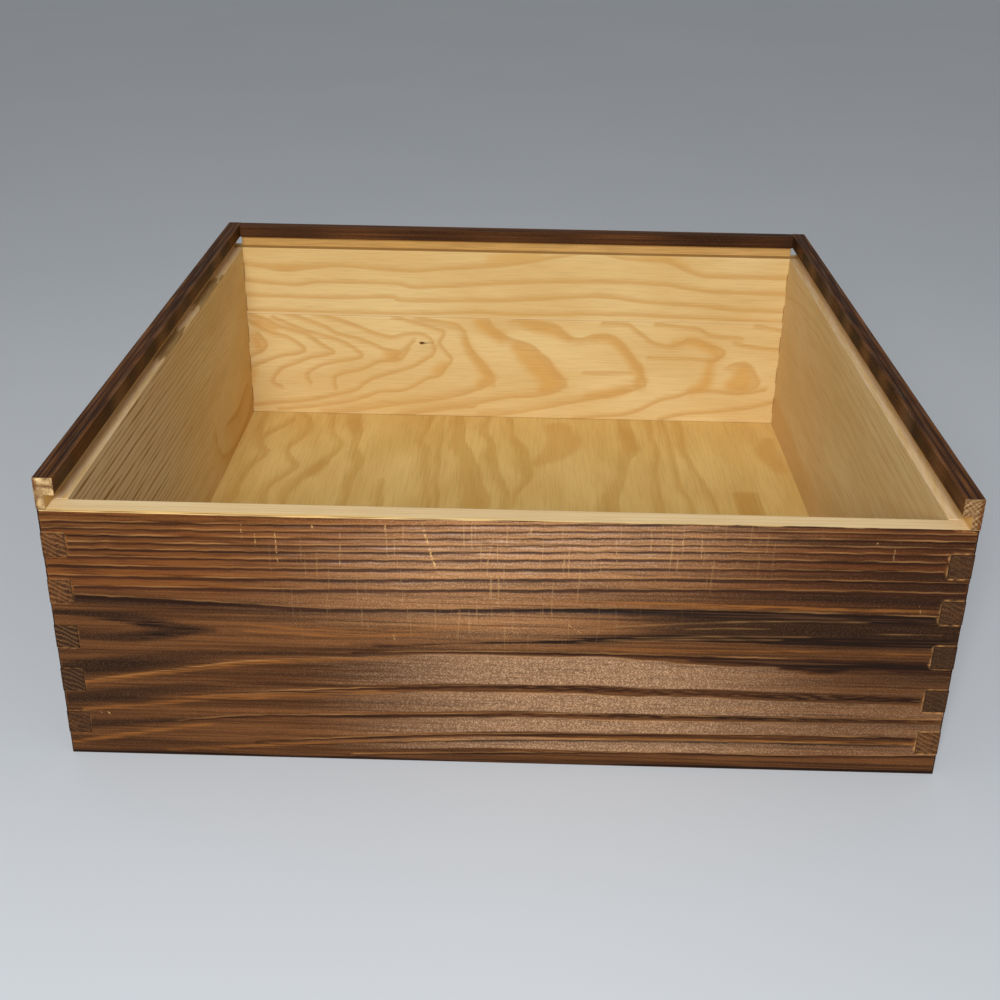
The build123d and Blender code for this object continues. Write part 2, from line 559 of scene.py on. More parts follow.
def wood_finish(name, axis, tones, scratches=()):
    """Bare and burnt wood in one material, for a board whose grain runs along that axis."""
    finish, shader, coords = new_finish(name)
    line, char, warm, pale = (painted(coords, label) for label in ("line", "char", "warm", "pale"))
    rim, wear_and_glare, burn, red = (painted(coords, label) for label in ("rim", "wear_and_glare", "burn", "red"))
    fibre = noise(coords, along(axis, 45, 1500), detail=3.0, roughness=0.6)
    cloud = ramp(noise(coords, along(axis, 12, 40)), 0.3, 0.7)
    grit = noise(coords, (1900, 1900, 1900), detail=1.0)
    spill = burn + (noise(coords, along(axis, 90, 420)) - 0.5) * 0.9
    burnt = ramp(spill, 0.4, 0.6)
    bare_colour = bare_look(tones, line, char, warm, pale, fibre, cloud)
    burnt_colour = burnt_look(coords, axis, line, char, warm, pale, rim, wear_and_glare, burn, red, fibre, grit)
    if scratches:
        broken = ramp(noise(coords, (650, 650, 650), detail=0.0), 0.4, 0.5) * ramp(grit, 0.38, 0.52)
        marks = scratch_marks(coords, scratches) * broken
        burnt_colour = mix(marks, burnt_colour, colour(206, 160, 104))
    plug(mix(burnt, bare_colour, burnt_colour), shader.inputs["Base Color"])
    roughness = burnt * (BURNT_ROUGHNESS - BARE_ROUGHNESS) + BARE_ROUGHNESS
    plug(roughness + (fibre - 0.5) * 0.2, shader.inputs["Roughness"])
    plug(burnt * (pale * 0.2 + wear_and_glare * 0.5), shader.inputs["Coat Weight"])
    shader.inputs["Coat Roughness"].default_value = SHEEN_ROUGHNESS
    shader.inputs["Specular IOR Level"].default_value = SHINE
    height = fibre * 0.6 + grit * (burnt * 0.9 + 0.1)
    relief = {"Strength": BUMP_STRENGTH, "Distance": BUMP_HEIGHT, "Height": height}
    plug(coords.add("ShaderNodeBump", None, relief), shader.inputs["Normal"])
    return finish


FRONT_SCRATCHES = (
    ((-31.5, 110.5), (-29.2, 101), 0.45, 0.75), ((-28.8, 99.5), (-26, 90), 0.5, 0.75),
    ((-99, 108), (-99, 101), 0.22, 0.4), ((-94, 104), (-94, 98), 0.22, 0.5),
    ((-86.5, 105), (-86, 90), 0.25, 0.5), ((-62, 105), (-62.5, 91), 0.2, 0.4),
    ((-45, 111), (-45, 105), 0.3, 0.5), ((17, 72.5), (31, 62.5), 0.4, 0.35),
    ((-43, 61), (-42, 56.5), 0.3, 0.5), ((54, 110), (54.5, 97), 0.18, 0.4),
    ((66, 110), (66, 101), 0.2, 0.4), ((73, 109), (73.5, 97), 0.18, 0.4),
    ((145, 104), (145, 98), 0.22, 0.3), ((157, 80.5), (159, 74.5), 0.2, 0.4),
    ((-4, 108), (-7, 91), 0.2, 0.3), ((41, 106), (42, 95), 0.2, 0.4), ((-73, 110.5), (-72, 106), 0.4, 0.5),
    ((10, 109), (8, 105), 0.4, 0.5), ((-163, 21.6), (-159.5, 19.2), 0.35, 0.9),
    ((-158.6, 21), (-157, 19), 0.3, 0.9), ((139.5, 107), (137.5, 105), 0.4, 0.5),
)
front_pine = wood_finish("front_pine", GRAIN_X, PINE, FRONT_SCRATCHES)
along_x = wood_finish("pine_along_x", GRAIN_X, PINE)
along_y = wood_finish("pine_along_y", GRAIN_Y, PINE)
plywood = wood_finish("plywood", GRAIN_Y, PLY)
finishes = (front_pine, along_x, along_y, plywood)
print("nodes:", {finish.name: len(finish.node_tree.nodes) for finish in finishes})

# %% [markdown]
# The front board shows most. Its upper third is straight grain: narrow bands that run from end to end and
# rise a little to the right. Below lies a flame of scorched wood on the left, a near-black band on the
# right and four broad pale bands between wavering dark rings. Each is drawn here in millimetres from the
# middle of the box's underside, as (along, up, half width). A pale band is drawn by its two edges, and a
# scorched line is soft on the right-hand side of the way that it is drawn.

# %% Rings of the front board
STATIONS = (-175, -120, -80, -40, 0, 40, 80, 120, 175)
STRAIGHT_RINGS = (
    (81.6, 0.45), (86.2, 0.4), (90.7, 0.4), (94.7, 0.35), (98.1, 0.26),
    (100.9, 0.2), (103.9, 0.22), (106.8, 0.2), (109.7, 0.2),
)


def sway(x):
    """How far the straight grain of the front's top third has risen at x, against the middle."""
    return 0.018 * x + 0.7 * math.sin(2 * math.pi * x / 320)


front_rings = [[(x, z + sway(x), half) for x in STATIONS] for z, half in STRAIGHT_RINGS]
front_rings += [
    [(-175, 75, 0.5), (-120, 73.2, 0.6), (-70, 71.2, 0.5), (-20, 72.2, 0.5), (30, 74, 0.5),
     (80, 74.5, 0.4), (175, 74, 0.3)],
    [(-60, 51.6, 0.1), (0, 53.3, 0.25), (40, 53.6, 0.35), (70, 53.4, 0.4), (110, 53.2, 0.2)],
    [(-130, 29, 0.05), (-100, 31.4, 0.15), (-60, 34.2, 0.35), (-15, 37, 0.4), (30, 38.4, 0.2)],
    [(-140, 15.5, 0.05), (-120, 17.8, 0.2), (-100, 20, 0.3), (-60, 21.4, 0.35), (0, 24, 0.4),
     (40, 24.8, 0.35), (120, 25.4, 0.2), (180, 26.2, 0.2)],
    [(-100, 7.4, 0.05), (-60, 10.4, 0.25), (-20, 13.2, 0.3), (40, 15.2, 0.3), (100, 16.6, 0.2),
     (180, 17.2, 0.2)],
    [(-80, 6.2, 0.05), (-20, 10.3, 0.2), (60, 12.8, 0.25), (180, 13.6, 0.25)],
    [(-60, 2.1, 0.15), (0, 4.7, 0.2), (60, 6.6, 0.25), (120, 7, 0.25), (180, 8.8, 0.3)],
]
front_flame = [
    [(-180, 68, 0.6), (-160, 66.6, 1.2), (-146, 65, 2), (-135, 62.6, 2.6), (-125, 61, 2),
     (-112, 60.6, 0.2)],
    [(-118, 60, 0.6), (-130, 58.6, 2), (-142, 56.8, 2), (-154, 56, 1.4), (-166, 56, 0.6)],
]
front_scorched = [
    [(-158, 66.2, 0.1), (-145, 64.4, 0.6), (-132, 62, 1), (-121, 60.6, 0.2)],
    [(-124, 59.6, 0.2), (-134, 57.6, 0.8), (-147, 55.6, 0.1)],
    [(180, 62.2, 1.8), (140, 62.2, 1.9), (110, 62, 1.7), (80, 62.3, 1.6), (50, 61.5, 1.2), (20, 58.9, 0.7),
     (-15, 57.3, 0.3), (-50, 54.5, 0.1)],
    [(-60, 71.2, 0.1), (-20, 71.9, 0.2), (10, 72.8, 0.5), (30, 73.5, 1), (60, 73.8, 1.5), (90, 73.2, 1.6),
     (120, 72.6, 1.7), (150, 72.2, 1.6), (180, 72.2, 1.6)],
    [(180, 50.6, 1.3), (155, 51, 1.3), (140, 51.2, 1.2), (127, 50.4, 2), (115, 51.2, 1.4), (100, 52, 0.7),
     (80, 52.6, 0.3), (66, 53, 0.1)],
]
front_shades = [
    [(-180, 39.5, 2.5), (-150, 44, 3.4), (-125, 47.6, 2.6), (-95, 50.5, 1.4), (-50, 53.8, 1), (0, 57, 0.7),
     (50, 60, 0.8)],
    [(-180, 26, 2.2), (-150, 29.5, 2.8), (-125, 32.8, 2.2), (-100, 34.4, 1), (-60, 35.8, 0.5)],
    [(-180, 13, 1.5), (-150, 15.5, 1.2), (-120, 18.4, 0.8)],
    [(-180, 73.5, 1.2), (-120, 71.8, 1.2), (-70, 70, 1), (-20, 70.6, 0.8), (30, 72, 0.6)],
    [(30, 80, 0.4), (70, 80.4, 1.2), (120, 81, 1.4), (180, 81, 1.6)],
    [(60, 85.5, 0.1), (120, 86.5, 0.3), (180, 87, 0.4)], [(70, 90, 0.1), (130, 91.5, 0.3), (180, 92, 0.4)],
    [(-100, 51.6, 0.2), (-60, 52.4, 0.6), (0, 54.6, 0.5), (50, 54.8, 0.3)],
]
front_gaps = [
    [(60, 53.3, 0.2), (80, 52, 1), (100, 51.8, 1.4), (112, 51, 2.4), (125, 50.5, 3), (140, 51.2, 2.2),
     (155, 50.8, 2.4), (180, 50.5, 2.6)],
    [(-60, 35, 0.1), (-30, 36.2, 0.5), (-5, 36.8, 0.7), (12, 37, 1.1), (28, 36.9, 1.5), (40, 37, 1.2),
     (60, 36.3, 1.1), (80, 36.4, 1.3), (95, 36, 0.8), (112, 36, 1.2), (130, 36, 1.5), (150, 36, 1.3),
     (180, 35, 1.2)],
    [(-20, 23.2, 0.1), (0, 23.7, 0.6), (16, 24, 0.9), (40, 24.2, 0.7), (60, 24.6, 0.8), (80, 24.7, 0.5),
     (100, 24.9, 0.7), (120, 25.1, 0.5), (145, 25.6, 0.6), (180, 25.8, 0.4)],
    [(70, 16.2, 0.1), (100, 16.4, 0.4), (120, 16.7, 0.3), (150, 17, 0.6), (180, 17.2, 0.4)],
]
front_amber = [
    [(-175, 33.5, 0.6), (-160, 36, 1), (-140, 39.3, 1.1), (-120, 42.8, 1.2), (-100, 45.6, 1),
     (-80, 47.5, 0.7), (-40, 50.3, 0.3)],
    [(-168, 21.5, 0.5), (-140, 25, 0.8), (-120, 28.3, 1.2), (-100, 29.7, 1.2), (-80, 31.4, 0.8),
     (-40, 33.6, 0.4)],
    [(-172, 5.5, 0.9), (-140, 12, 0.8), (-115, 16, 0.4)],
    [(-135, 2.5, 0.4), (-100, 5.5, 0.5), (-60, 8.7, 0.5), (0, 12, 0.6), (60, 14, 0.6), (175, 14.8, 0.7)],
    [(40, 56, 0.3), (80, 56.5, 0.5), (110, 57, 0.6), (140, 57, 0.6), (170, 56.8, 0.5)],
    [(20, 77.4, 0.3), (60, 77.2, 0.8), (110, 77, 0.9), (170, 76.6, 0.6)],
    [(-100, 63.6, 0.1), (-75, 62, 0.7), (-40, 63, 0.8), (0, 66, 0.6)],
    [(-100, 60.5, 0.3), (-60, 59.5, 0.6), (-20, 62, 0.3)],
]
# Painted glints: thin streaks of painted highlight on the dark band and along the amber streaks.
front_glints = [
    [(35, 65.8, 0.1), (65, 68.4, 0.25), (95, 70.5, 0.25), (120, 71.1, 0.2), (140, 71.2, 0.1)],
    [(70, 66.4, 0.1), (85, 67, 0.25), (102, 67.3, 0.1)],
    [(50, 61.6, 0.1), (65, 62.4, 0.25), (90, 63.4, 0.25), (118, 64, 0.1)],
    [(40, 60.4, 0.1), (65, 61.3, 0.2), (85, 61.9, 0.25), (106, 62.3, 0.1)],
    [(140, 66.1, 0.05), (155, 66.3, 0.1), (168, 66.4, 0.05)],
    [(28, 59.2, 0.1), (45, 60.2, 0.25), (60, 60.6, 0.1)],
    [(-70, 65.5, 0.1), (-40, 65.6, 0.2), (-5, 66.5, 0.1)],
    [(-165, 35.6, 0.1), (-140, 39.9, 0.2), (-120, 43.4, 0.25), (-100, 46.6, 0.25), (-60, 49.8, 0.1)],
    [(-120, 29.7, 0.1), (-100, 30.9, 0.2), (-75, 32.6, 0.2), (-50, 33.8, 0.1)],
    [(-100, 20.9, 0.1), (-70, 22, 0.2), (-40, 23.2, 0.1)],
]
front_bands = [
    (even(0, (-60, 50), (-20, 52), (20, 52), (37, 52.6), (60, 51.2), (80, 50), (92, 49.6), (105, 49.8),
          (112, 48.2), (118, 47), (124, 46.6), (135, 47.2), (175, 47.5)),
     even(0, (-60, 36), (-20, 38.2), (20, 38.7), (35, 39.2), (60, 38.2), (80, 38.6), (120, 37.8),
          (175, 37.5))),
    (even(0, (-60, 32.6), (-20, 34.6), (20, 35), (32, 35.2), (45, 34.6), (80, 34.8), (110, 34),
          (150, 33.6), (175, 33)),
     even(0, (-60, 23), (0, 25.8), (40, 25.9), (100, 26.4), (140, 26.8), (175, 27))),
    (even(0, (-60, 20.2), (0, 22.6), (40, 22.8), (80, 23.2), (120, 23.8), (175, 24.6)),
     even(0, (-60, 12), (0, 15.8), (40, 16.2), (80, 17), (120, 17.6), (175, 18.2))),
    (even(0, (-60, 9.6), (0, 13), (40, 13), (100, 13.6), (175, 14)),
     even(0, (-60, 5), (0, 7.5), (40, 7.2), (120, 8), (175, 9))),
]
print("front:", len(front_rings), "rings and", len(front_scorched), "scorched lines")

# %% [markdown]
# Brushing takes out the soft wood and leaves the hard rings standing, so the relief follows the same
# drawing. Between two rings the face leans like a clapboard: deep under the ring above it, and proud at its
# lower edge, where the brush and years of hands have rubbed the burnt skin off and a highlight is painted on
# the light rim. The next ring is a step back in. Light from above then draws each band by itself. The relief
# only ever goes inwards.

# %% Relief of a burnt face
GROOVE_DEPTH = 0.35
LEAN = 0.22
RESTING_DEPTH = 0.06
DEEPEST = 0.95
UNDERSIDE_SOFTNESS = 0.4
SCORCH_SOFTNESS = 0.22
GROOVE_REACH = 0.32
SCORCH_DEPTH = 0.14
FLECK_SEED = 31
FLECK_SHARE = 0.22
OUT_OF_SIGHT = 1000


def ring_gaps(rings, u, v):
    """Distance from the nearest ring's edge, and the gaps down to the ring below and up to the ring above.
    Under a ring the distance grows more slowly, so the ring's dark fades downwards."""
    line = np.full(len(u), FAR)
    below = np.full(len(u), FAR)
    above = np.full(len(u), FAR)
    for points in rings:
        curve = drawn_curve(points)
        past_ends = (u < curve[0, 0] - 1) | (u > curve[-1, 0] + 1)
        up = v - np.interp(u, curve[:, 0], curve[:, 1]) + np.where(past_ends, OUT_OF_SIGHT, 0)
        half = np.interp(u, curve[:, 0], curve[:, 2])
        line = np.minimum(line, np.where(up > 0, up, -up * UNDERSIDE_SOFTNESS) - half)
        young = rise(half, 0.16, 0.04)
        below = np.minimum(below, np.where(up > 0, up + 3 * young, FAR))
        above = np.minimum(above, np.where(up <= 0, -up, FAR))
    return line, below, above


def band_inside(band, u, v):
    """How far a place lies inside a band drawn by its upper and lower edges, and how far below the upper."""
    top, bottom = (np.interp(u, *drawn_curve(edge)[:, :2].T) for edge in band)
    return np.minimum(top - v, v - bottom), top - v


def brushed_face(u, v, drawing, rng):
    """Depth in millimetres, and paint, of a burnt and brushed face at places (u, v)."""
    wavy = v + 0.16 * uneven(rng, u, v, 11, 60)
    line, below, above = ring_gaps(drawing["rings"], u, wavy)
    line += 0.15 * np.clip(uneven(rng, u, v, 70, 5), 0, 1)
    ragged = u + 7 * uneven(rng, u, v, 80, 2.4)
    scorched = distance_to_lines(drawing["scorched"], ragged, v, SCORCH_SOFTNESS)
    wandering = v + 0.35 * uneven(rng, u, v, 17, 9)
    gap = distance_to_lines(drawing.get("gaps", ()), u, wandering)
    line = np.minimum(line, 0.7 * gap + 0.1)
    warm = rise(distance_to_lines(drawing["amber"], u + 0.4 * (ragged - u), v), 0.7, -0.6)
    patchy = 0.6 + 0.5 * uneven(rng, u, v, 60, 8)
    # A light rim just above each ring, where the skin is rubbed off, with a painted highlight on it.
    rim = 0.8 * np.exp(-((below - 0.7) / 0.35) ** 2) * np.clip(patchy, 0, 1)
    # Painted glints, drawn as thin lines of painted highlight.
    glint = rise(distance_to_lines(drawing.get("glints", ()), u, v), 0.35, -0.1)
    rim = np.maximum(rim, glint * (0.25 + 0.2 * uneven(rng, u, v, 25, 4)))
    spots = uneven(np.random.default_rng(FLECK_SEED), u, v, 13, 2)
    flecks = rise(gap, 0.3, -0.3) * rise(v, 45, 41) * rise(spots, 0.25, 0.55)
    rim = np.maximum(rim, FLECK_SHARE * flecks)
    pale = np.zeros(len(u))
    for band in drawing.get("bands", ()):
        inside, under_edge = band_inside(band, u + 3 * uneven(rng, u, v, 30, 3), v)
        fade = rise(u + 9 * uneven(rng, u, v, 80, 2.5), -85, 15)
        fade *= 1 - (0.7 + 0.25 * rise(v, 34, 40)) * rise(u, 50, 140)
        pale = np.maximum(pale, rise(inside, -0.2, 0.5) * fade)
        rim = np.maximum(rim, 0.4 * fade * np.exp(-((under_edge - 0.3) / 0.3) ** 2))
    depth = RESTING_DEPTH + GROOVE_DEPTH * np.exp(-(np.maximum(line, 0) / GROOVE_REACH) ** 2)
    depth += LEAN * below / (below + above + 0.01)
    depth += SCORCH_DEPTH * rise(scorched, 0.6, -0.6) - SCORCH_DEPTH * pale
    depth += 0.05 * uneven(rng, u, v, 60, 9) + 0.05 * uneven(rng, u, v, 25, 2.5)
    values = {"line": line, "char": scorched, "warm": warm, "pale": pale, "rim": rim}
    return np.clip(depth, 0, DEEPEST), values


print("deepest relief", DEEPEST, "mm")

# %% [markdown]
# The paint of a board is eight numbers on each point. Two are distances from drawn edges: line from the
# nearest ring, and char from the nearest scorched place. The others are shares: warm for amber wood, pale
# for chalk, dust and a painted sheen, rim for light edges, painted highlights and glints, the wear share for
# rubbed wood under a painted glare, red for a redder brown, and burn, which goes past 1 where the burnt
# wood is darker. A board starts blank and bare, and each mark is laid over the last.

# %% Paint
def blank_paint(count):
    """Paint of a plain, bare board, to be laid over."""
    paint = {label: np.zeros(count) for label in ("warm", "pale", "rim", "wear_and_glare", "burn", "red")}
    return paint | {label: np.full(count, FAR) for label in ("line", "char")}


def lay(paint, where, values):
    """Lays values, given for the chosen points or the same for all of them, over the paint."""
    for label, new in values.items():
        paint[label][where] = new


def start_board(node, cuts):
    """A sliced copy of a node, with its points, the ways that they face and blank paint."""
    mesh = sliced_copy(node, cuts)
    at, facing = read_points(mesh)
    return mesh, at, facing, blank_paint(len(at))


print("paint:", ", ".join(blank_paint(0)))

# %% [markdown]
# Some marks are shared by the boards: slanting rings where a board's end shows, and a black edge where the
# box stands. Others are the front's own. Its upper middle is painted light, for the rub of hands and a lid
# and as a painted glare; the burn is deeper in a dark band and in a flame at the left, and the face is darker
# towards both ends.

# %% End grain, wear, painted glare and burn
SKIN = 1.0
UNDERSIDE = 0.5


def repeated(place, pitch):
    """Distance from the nearest of lines that lie a pitch apart."""
    turns = place / pitch
    return np.abs(turns - np.floor(turns) - 0.5) * pitch


def end_grain(u, v, slope, pitch, half):
    """Ring lines of a board's end, at places across its thickness and up its height."""
    return repeated(v + slope * u + 0.35 * np.sin(0.9 * u + 0.37 * v), pitch) - half


def glare_and_wear_middle(x, z):
    """Where the front's upper middle is painted light: rubbed by hands and a sliding lid, and a painted
    glare.
    """
    upper = np.exp(-np.abs((x - 8) / 80) ** 3 - ((z - 97 - 0.12 * x) / 21) ** 2)
    return upper + 0.4 * np.exp(-((x + 2) / 36) ** 2 - ((z - 66) / 9) ** 2)


def burn_depth(x, z):
    """The front's burn number: 1 all over, higher in the dark places and towards both ends, 0 along the top.
    """
    band = rise(x, 25, 80) * rise(z, 60, 62) * rise(z, 75.5, 73.5)
    # Darker towards the right end, and at the left end, most near the top.
    right_end = rise(x, 60, 160) * (0.3 + 0.7 * rise(z, 20, 55))
    left_end = (0.6 + 0.35 * rise(z, 86, 98)) * rise(-x, 95, 165)
    shade = rise(distance_to_lines(front_shades, x, z), 2.2, -1.5)
    band = np.maximum(band, 0.85 * rise(distance_to_lines(front_flame, x, z), 2.8, -1.2))
    bare_from = np.interp(x, (-175, -80, -30, 30), (111, 111, 111.3, 111.8))
    deeper = np.maximum(1 + 1.8 * band, 1 + 1.1 * shade + (right_end + left_end))
    return deeper * rise(z - bare_from, 0.5, -0.3)


def flat_out(facing, axis, sign):
    """1 on points that face straight out along an axis, falling to 0 on rounded edges."""
    return rise(facing[:, axis] * sign, 0.55, 0.98)


def dress_board_ends(at, facing, paint, places, slope):
    """Burnt end grain on both ends of a board that runs across the box. Returns which points they are."""
    x, y, z = places
    ends = np.abs(x) > half_width - SKIN
    rings = end_grain(y[ends], z[ends], slope, 2.6, 0.35)
    lay(paint, ends, {"line": rings, "char": 1.2, "burn": 1.0})
    depth = 0.2 + 0.15 * rise(rings, 0.3, -0.2)
    at[ends, 0] -= np.sign(x[ends]) * flat_out(np.abs(facing[ends]), 0, 1) * depth
    return ends


def burn_underside(paint, z):
    """The black edge that a board stands on."""
    lay(paint, z < UNDERSIDE, {"burn": 1.0, "char": 0.0})


tried = burn_depth(np.array([0.0, 120.0]), np.array([50.0, 68.0])).round(2)
print("burn is", tried[0], "in the middle of the front and", tried[1], "in its dark band")

# %% [markdown]
# The front board is sliced coarsely along the grain and up its height. Its outer skin alone is then sliced
# finely, because the rings lie close there. The outer face is burnt and brushed, the top edge and the inner
# face are bare. Which is which follows from where a point lies and which way it faces.

# %% Front board
FRONT_STEP_UP = 0.3
INNER_STEP_UP = 0.9
FRONT_SKIN = 0.95
FRONT_STEP_ALONG = 2.7
STEP_ACROSS = 0.45
END_INSETS = (0.6, 1.2, 2, 3, 4.5, 6, 7.5, 8.9, 9.3, 9.6, 10, 10.5)
LOWER_EDGE = 1.6

front_mesh, at, facing, paint = start_board("front_board", (
    (2, cut_places(front_low[2], front_high[2], INNER_STEP_UP)),
    (1, cut_places(front_low[1], front_high[1], STEP_ACROSS)),
    (2, cut_places(front_low[2], front_high[2], FRONT_STEP_UP), front_low[1] + FRONT_SKIN),
    (0, cut_places(front_low[0], front_high[0], FRONT_STEP_ALONG, END_INSETS)),
))
x, y, z = at.T.copy()
rng = np.random.default_rng(3)

face = y < front_low[1] + SKIN
drawing = {
    "rings": front_rings, "scorched": front_scorched, "gaps": front_gaps,
    "amber": front_amber, "bands": front_bands, "glints": front_glints,
}
depth, values = brushed_face(x[face], z[face], drawing, rng)
lay(paint, face, values)
# Painted glare, with wear, on the upper middle of the front.
wear_and_glare = glare_and_wear_middle(x[face], z[face])
lay(paint, face, {"wear_and_glare": wear_and_glare, "burn": burn_depth(x[face], z[face])})
lay(paint, face, {"red": rise(z[face], 72, 84) * (1 - 0.6 * np.clip(wear_and_glare, 0, 1))})
warm_left = 0.5 * rise(z[face], 74, 82) * rise(-x[face], 20, 80)
paint["warm"][face] = np.maximum(paint["warm"][face], warm_left)
at[face, 1] += flat_out(facing[face], 1, -1) * depth
lay(paint, face & (z < LOWER_EDGE), {"char": -0.6})
print("front face", face.sum(), "points, up to", round(depth.max(), 2), "mm deep")

# %% [markdown]
# Glue was pressed out around the fingers of the sides and dried as a light line, wider on the right. Along
# the top edge the burn ends in a soft brown, and the edge itself is bare and shows its own fine lines.

# %% Front board: joints, edges and inside
FINGERS = 11
GLUE_ROUND = 1.5
GLUE_FROM = 2.0
GLUE_PAST_WALL = 1.6
GLUE_WIDTH_LEFT = 0.7
GLUE_WIDTH_RIGHT = 1.1
finger = front_top / FINGERS

past_socket = np.abs((z / finger - 1.5 + 1) % 2 - 1) * finger - finger / 2
past_wall = np.maximum(inner_x - np.abs(x) + GLUE_ROUND, 0)
past_corner = np.hypot(past_wall, np.maximum(past_socket + GLUE_ROUND, 0)) - GLUE_ROUND
glue_width = np.where(x > 0, GLUE_WIDTH_RIGHT, GLUE_WIDTH_LEFT)
glue = face & (z > GLUE_FROM) & (np.abs(x) > inner_x - GLUE_PAST_WALL) & (past_corner < glue_width)
squeezed = np.clip(0.5 + 0.6 * uneven(rng, x[glue] * 3, z[glue], 14, 9), 0, 1)
squeezed *= np.where(x[glue] > 0, 1, 0.45)
squeezed *= rise(past_corner[glue], glue_width[glue], 0.3)
lay(paint, glue, {"rim": squeezed, "char": 1.0, "line": FAR})

upper_edge = face & (z > front_top - 1.4) & (facing[:, 2] < 0.95)
brown = np.where(facing[upper_edge, 2] > 0.2, 0.0, 0.25)
brown += 0.2 * uneven(rng, x[upper_edge], z[upper_edge], 45, 3)
lay(paint, upper_edge, {"char": brown})
ends = dress_board_ends(at, facing, paint, (x, y, z), 0.4)
lay(paint, face & ends & (facing[:, 2] < 0.5), {"char": -0.3, "rim": 0.0, "burn": 1.0})
top_edge = (z > front_top - 0.3) & ~face
top_lines = [
    [(-172, -172.6, 0.25), (-60, -171.6, 0.3), (40, -170.9, 0.2)],
    [(-172, -171.2, 0.25), (-90, -170.2, 0.3), (0, -169.5, 0.2)],
    [(-120, -168.4, 0.2), (20, -167.6, 0.2), (172, -166.4, 0.2)],
    [(-30, -173.6, 0.2), (90, -172.2, 0.3), (174, -171, 0.2)],
    [(30, -170.4, 0.2), (120, -169.4, 0.2), (174, -168.6, 0.2)],
]
lay(paint, top_edge, {"line": distance_to_lines(top_lines, x[top_edge], y[top_edge]), "pale": 0.5})

inner = y > front_high[1] - 0.6
lay(paint, inner, {"line": ring_gaps(front_rings, x[inner], z[inner])[0] + 0.4})
burn_underside(paint, z)
finish_piece(front_mesh, "front_board_finished", at, paint, front_pine, "front_board")

# %% [markdown]
# The other outer faces don't show in the photograph, but they were burnt and brushed in the same way. Their
# rings are drawn by a seeded hand: straight grain with a common sway, a few wide scorched bands and amber
# streaks between.

# %% Straight grain by a seeded hand
def straight_drawing(seed, low, high):
    """Rings, scorched bands and amber streaks of a straight-grained face between two heights."""
    rng = np.random.default_rng(seed)
    stations = np.linspace(-180, 180, 10)
    lean = rng.uniform(-0.02, 0.02)
    common = np.cumsum(rng.normal(0, 0.5, len(stations)))
    rings = []
    level = low - 4
    while level < high + 4:
        own = rng.normal(0, 0.25, len(stations))
        half = rng.uniform(0.2, 0.45)
        rings.append([(u, level + lean * u + s + o, half) for u, s, o in zip(stations, common, own)])
        level += rng.uniform(3.2, 8.5)
    scorched = []
    for _ in range(4):
        middle = rng.uniform(low, high)
        start, end = sorted(rng.uniform(-200, 200, 2))
        spots = np.linspace(start, end, 5)
        heights = middle + lean * spots + np.interp(spots, stations, common)
        halves = rng.uniform(0.8, 2.2) * np.array((0.2, 0.8, 1, 0.8, 0.2))
        scorched.append(list(zip(spots, heights, halves)))
    amber = []
    for chosen in rng.choice(len(rings) - 1, 4, replace=False):
        amber.append([(u, v + 1.8, 0.9) for u, v, _ in rings[chosen]])
    return {"rings": rings, "scorched": scorched, "amber": amber}


print("a drawing has", len(straight_drawing(1, 0, box_height)["rings"]), "rings")

# %% [markdown]
# The inner faces of the sides are bare. The left one is close straight grain with an oval at the back, low
# down; the right one is smooth, with faint lines. They are drawn as (along, up), with -Y at the front. The
# fingers of a side show their ends on the front, each burnt and rubbed in its own way, counted from below.

# %% Marks of the sides
left_oval = [
    even(0.8, (64, 34), (66, 26), (70, 20), (80, 12), (100, 7), (130, 5.5), (150, 8), (168, 14)),
    [(92, 27, 0.3), (110, 23.5, 1.6), (125, 22.5, 1.8), (138, 25, 1), (152, 28, 0.3)],
]
right_lines = [
    even(0.6, (-170, 97), (-60, 100), (20, 102), (70, 102), (120, 98), (150, 92), (170, 88)),
    even(0.6, (-170, 92), (-60, 95), (20, 97), (70, 97), (110, 94)),
    even(0.5, (-170, 87), (-40, 90), (30, 92)), even(0.5, (-170, 103), (-40, 106), (60, 108), (150, 105)),
    even(0.5, (-170, 72), (-80, 75), (0, 77), (80, 76)), even(0.5, (-170, 66), (-80, 70), (0, 73)),
    even(0.45, (-170, 60), (-80, 64), (-20, 67)), even(0.4, (-170, 52), (-90, 58)),
    even(0.5, (-170, 80), (-60, 83), (20, 83)), even(0.5, (-60, 38), (20, 40), (80, 39)),
]
lip_stripes = [
    even(0.4, (-180, 169.6), (0, 170.2), (180, 169.8)),
    even(0.5, (-180, 172.8), (0, 172.2), (180, 173)),
]
lip_burn = {-1: (1.45, 1.45, 1.55), 1: (1.1, 1.5, 2.1)}
lip_edge_burn = {-1: 0.7, 1: 1.0}
lip_end_waves = {-1: (6, 7), 1: (2.6, 2.4)}
ledge_stains = {-1: ((-1, 22), (80, 27)), 1: ()}
finger_looks = {
    -1: {1: (2, 0.05), 3: (3, 0.2), 5: (2.9, 0.35), 7: (1.3, 0.3), 9: (1.3, 0.3)},
    1: {1: (1.7, 0.4), 3: (2.6, 0.08), 5: (2.8, 0.05), 7: (2.4, 0.1), 9: (2.4, 0.08)},
}


